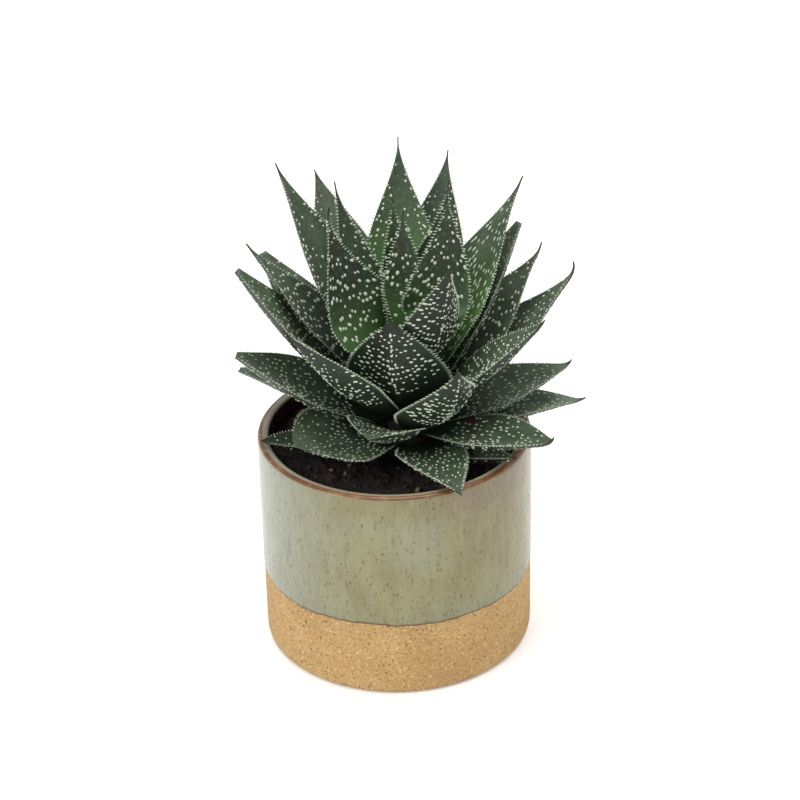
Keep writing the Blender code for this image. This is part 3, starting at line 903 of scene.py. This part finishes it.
def make_pot(glaze, clay):
    """The pot as one turned mesh whose glaze stands a little proud of the bare clay."""
    build = Builder("height", "rim", "inside", "edge")
    columns = []
    for k in range(POT_SIDES):
        turn = 2 * math.pi * k / POT_SIDES
        rows, split = pot_profile(turn)
        columns.append([(r * math.cos(turn), r * math.sin(turn), z, rim, inside,
                         max(0.0, z - glaze_edge(turn))) for r, z, rim, inside in rows])
    data = np.array(columns)
    rings = data.shape[1]
    # the ends of each column lie on the axis, and triangles close them
    faces = []
    for k in range(POT_SIDES):
        k2 = (k + 1) % POT_SIDES
        for i in range(rings - 1):
            a, b = k * rings + i, k2 * rings + i
            if i == 0:
                faces.append((a + 1, a, b + 1))
            elif i == rings - 2:
                faces.append((a, b, a + 1))
            else:
                faces.append((a, b, b + 1, a + 1))
    flat = data.reshape(-1, data.shape[2])
    build.add(flat[:, :3], faces, height=flat[:, 2], rim=flat[:, 3], inside=flat[:, 4],
              edge=flat[:, 5])
    item = build.build("glazed_pot", glaze)
    item.data.materials.append(clay)
    slots = [1 if f % (rings - 1) < split else 0 for f in range(len(faces))]
    item.data.polygons.foreach_set("material_index", slots)
    item.data.update()
    weld(item)
    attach(item, "root")
    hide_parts("pot")
    return item


def weld(item):
    """Joins the vertices that lie on one another, as at a turned shape's axis."""
    work = bmesh.new()
    work.from_mesh(item.data)
    bmesh.ops.remove_doubles(work, verts=work.verts, dist=1e-6)
    bmesh.ops.recalc_face_normals(work, faces=work.faces)
    work.to_mesh(item.data)
    work.free()


def soil_waves(rng):
    """The waves of the soil's top, three of each length in chance directions."""
    waves = []
    for wavelength, size in SOIL_WAVES:
        for _ in range(3):
            turn = rng.uniform(0, 2 * math.pi)
            k = 2 * math.pi / (wavelength * MM)
            waves.append((k * math.cos(turn), k * math.sin(turn), rng.uniform(0, 6.28),
                          size * MM / 1.7))
    return waves


def soil_height(x, y, waves):
    """How far the soil's top stands above its level: low mounds and small lumps."""
    height = np.zeros_like(x)
    for kx, ky, phase, size in waves:
        height += size * np.sin(kx * x + ky * y + phase)
    return height


def add_ground(build, waves, edge):
    """The soil's top as a disc of rings, closed by a skirt and a flat underside."""
    rings, sides = SOIL_RINGS, SOIL_SIDES
    r = np.concatenate([[0.0], np.linspace(0, 1, rings)[1:] ** 0.8 * edge])
    turns = np.arange(sides) * 2 * math.pi / sides
    radius, turn = np.meshgrid(r, turns, indexing="ij")
    x, y = radius * np.cos(turn), radius * np.sin(turn)
    z = SOIL_LEVEL + soil_height(x, y, waves) * np.clip((edge - radius) / (3 * MM), 0.2, 1)
    top = np.stack([x, y, z], axis=-1).reshape(-1, 3)
    skirt = top[-sides:].copy()
    skirt[:, 2] = FLOOR + 2 * MM
    skirt[:, :2] *= (edge - 6 * MM) / edge
    faces = []
    for i in range(rings):
        near, far = i * sides, (i + 1) * sides
        for k in range(sides):
            k2 = (k + 1) % sides
            faces.append((near + k, far + k, far + k2, near + k2))
    faces.append(tuple(rings * sides + k for k in reversed(range(sides))))
    build.add(np.vstack([top, skirt]), faces)


def add_crumbs(build, waves, edge, rng):
    """Crumbs, bark bits and pale grains, half sunk in the soil's top."""
    for _ in range(CRUMBS):
        at = edge * math.sqrt(rng.uniform(0.02, 0.97))
        turn = rng.uniform(0, 2 * math.pi)
        centre = np.array([at * math.cos(turn), at * math.sin(turn), 0.0])
        lift = soil_height(centre[:1], centre[1:2], waves)[0]
        size = rng.uniform(*CRUMB_SIZE) * MM * (1 if rng.random() < 0.85 else 1.5)
        if at + size * 1.6 > edge:
            continue
        centre[2] = SOIL_LEVEL + lift + size * rng.uniform(-0.1, 0.35)
        pale = rng.uniform(0.5, 1.0) if rng.random() < PALE_CRUMBS else rng.uniform(0, 0.10)
        points, crumb = lump(rng, size, stretch=rng.uniform(0.6, 1.7))
        build.add(points + centre, crumb, pale=pale)


def make_soil(material):
    """The soil's surface over its plain solid."""
    rng = np.random.default_rng(7)
    waves = soil_waves(rng)
    edge = POT_RADIUS - WALL - GAP
    build = Builder("pale")
    add_ground(build, waves, edge)
    add_crumbs(build, waves, edge, rng)
    item = build.build("soil_surface", material)
    weld(item)
    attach(item, "root")
    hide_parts("soil")
    return item


PHI = (1 + 5 ** 0.5) / 2
ICO = np.array([(-1, PHI, 0), (1, PHI, 0), (-1, -PHI, 0), (1, -PHI, 0), (0, -1, PHI), (0, 1, PHI),
                (0, -1, -PHI), (0, 1, -PHI), (PHI, 0, -1), (PHI, 0, 1), (-PHI, 0, -1),
                (-PHI, 0, 1)]) / math.hypot(1, PHI)
ICO_FACES = [(0, 11, 5), (0, 5, 1), (0, 1, 7), (0, 7, 10), (0, 10, 11), (1, 5, 9), (5, 11, 4),
             (11, 10, 2), (10, 7, 6), (7, 1, 8), (3, 9, 4), (3, 4, 2), (3, 2, 6), (3, 6, 8),
             (3, 8, 9), (4, 9, 5), (2, 4, 11), (6, 2, 10), (8, 6, 7), (9, 8, 1)]


def lump(rng, size, stretch):
    """A crumb: a twenty-faced ball pushed about and turned at random."""
    points = ICO * rng.uniform(0.7, 1.2, (12, 1)) * (stretch, 1.0, 0.75)
    axis = Vector(rng.normal(0, 1, 3)).normalized()
    turn = np.array(Matrix.Rotation(rng.uniform(0, 6.28), 3, axis))
    return points @ turn.T * size, ICO_FACES


def make_camera():
    """The camera at the photograph's angle, in front of the plant and above it."""
    elevation, roll = math.radians(CAMERA_ELEVATION), math.radians(CAMERA_ROLL)
    back = Vector((0, -math.cos(elevation), math.sin(elevation)))
    up = Vector((0, math.sin(elevation), math.cos(elevation)))
    right = Vector((1, 0, 0))
    turned_right = right * math.cos(roll) + up * math.sin(roll)
    turned_up = up * math.cos(roll) - right * math.sin(roll)
    rows = Matrix((turned_right, turned_up, back)).transposed().to_4x4()
    data = bpy.data.cameras.new("camera")
    data.lens = CAMERA_LENS
    data.sensor_width = 36
    data.clip_end = 20
    item = bpy.data.objects.new("camera", data)
    bpy.context.collection.objects.link(item)
    item.matrix_world = Matrix.Translation(Vector(CAMERA_TARGET) + back * CAMERA_DISTANCE) @ rows
    bpy.context.scene.camera = item


def soft_light(name, place, size, power):
    """A round white light that looks at the plant."""
    data = bpy.data.lights.new(name, "AREA")
    data.shape = "DISK"
    data.size = size
    data.energy = power
    item = bpy.data.objects.new(name, data)
    bpy.context.collection.objects.link(item)
    item.location = place
    toward = Vector(LIT_POINT) - Vector(place)
    item.rotation_euler = toward.to_track_quat("-Z", "Y").to_euler()


def make_studio():
    """A wide white floor, a white sky and three soft lights."""
    n = Nodes("studio_white")
    n.shader.inputs["Base Color"].default_value = (0.9, 0.9, 0.89, 1)
    n.shader.inputs["Roughness"].default_value = 0.8
    n.shader.inputs["Emission Color"].default_value = (1, 1, 1, 1)
    n.shader.inputs["Emission Strength"].default_value = FLOOR_GLOW
    mesh = bpy.data.meshes.new("floor")
    corners = [(-1, -1), (1, -1), (1, 1), (-1, 1)]
    mesh.from_pydata([(x * FLOOR_REACH, y * FLOOR_REACH, 0) for x, y in corners], [],
                     [(0, 1, 2, 3)])
    mesh.materials.append(n.material)
    floor = bpy.data.objects.new("floor", mesh)
    bpy.context.collection.objects.link(floor)
    for light in LIGHTS:
        soft_light(*light)
    world = bpy.data.worlds.new("studio_sky")
    world.use_nodes = True
    sky = world.node_tree.nodes["Background"]
    sky.inputs["Color"].default_value = (1, 1, 1, 1)
    sky.inputs["Strength"].default_value = SKY_STRENGTH
    bpy.context.scene.world = world
    bpy.context.scene.view_settings.view_transform = "Standard"


def main():
    """Builds the whole scene."""
    make_camera()
    make_studio()
    green = leaf_material()
    for number, one in enumerate(LEAVES + BUDS):
        make_leaf(one, number, green)
    make_pot(glaze_material(), clay_material())
    make_soil(soil_material())
    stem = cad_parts["stem"]
    stem.data.materials.clear()
    stem.data.materials.append(stem_material())


main()
